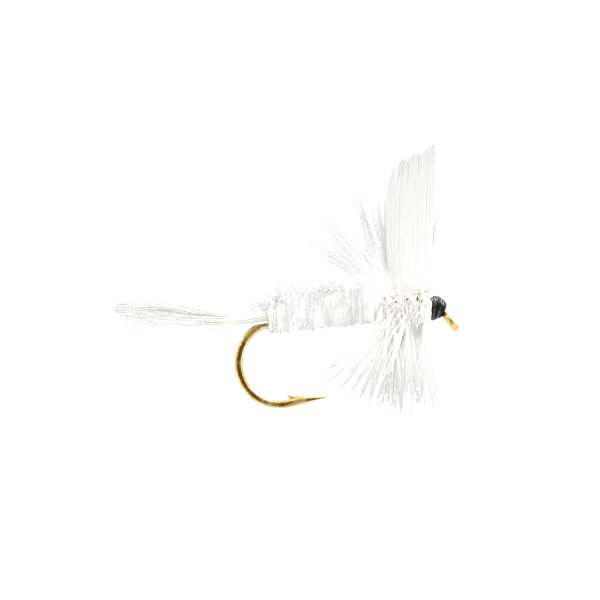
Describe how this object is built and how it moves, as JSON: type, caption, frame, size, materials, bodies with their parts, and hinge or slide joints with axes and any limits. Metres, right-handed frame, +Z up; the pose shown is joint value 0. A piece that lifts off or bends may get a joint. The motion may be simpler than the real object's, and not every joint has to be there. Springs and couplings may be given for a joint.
{
  "type": "dry fly",
  "caption": "White quill-winged dry fly: gold down-eye barbed hook, stiff fibre tail, wound wool body, upright wings, wound hackle collar and black lacquered head.",
  "frame": {"origin": "centre of the hook eye's hole", "axes": "+X along the hook shank towards the eye, +Y towards the fly's left side, +Z up through the wings"},
  "size_m": [0.0253, 0.0157, 0.02],
  "materials": {
    "hook_wire": "polished steel wire with a gold lacquer",
    "tying_thread": "waxed fine tying thread",
    "floss": "smooth cream floss",
    "wool_yarn": "soft matt white wool yarn with stray fibres",
    "wing_quill": "white quill feather fibres, satin",
    "hackle": "stiff glossy off-white cock hackle",
    "tail": "stiff glossy off-white hackle fibres",
    "head_thread": "black tying thread in touching turns",
    "head_lacquer": "clear glossy head cement over black thread"
  },
  "bodies": {
    "root": {"back_fuzz_1": "wool_yarn", "back_fuzz_2": "wool_yarn", "back_fuzz_3": "wool_yarn", "back_fuzz_4": "wool_yarn", "back_fuzz_5": "wool_yarn", "body_underlay": "floss", "body_yarn": "wool_yarn", "hackle_feather_1": "hackle", "hackle_feather_2": "hackle", "head_cement": "head_lacquer", "head_thread": "head_thread", "hook": "hook_wire", "tail_binding": "tying_thread", "tail_fibre_01": "tail", "tail_fibre_02": "tail", "tail_fibre_03": "tail", "tail_fibre_04": "tail", "tail_fibre_05": "tail", "tail_fibre_06": "tail", "tail_fibre_07": "tail", "tail_fibre_08": "tail", "tail_fibre_09": "tail", "tail_fibre_10": "tail", "tail_fibre_11": "tail", "tail_fibre_12": "tail", "tail_fibre_13": "tail", "tail_fibre_14": "tail", "tail_fibre_15": "tail", "thorax_floss": "floss", "thread_base": "tying_thread", "wing_butt_binding": "tying_thread", "wing_foot_wraps": "tying_thread", "wing_slip_left": "wing_quill", "wing_slip_right": "wing_quill"}
  },
  "joints": []
}
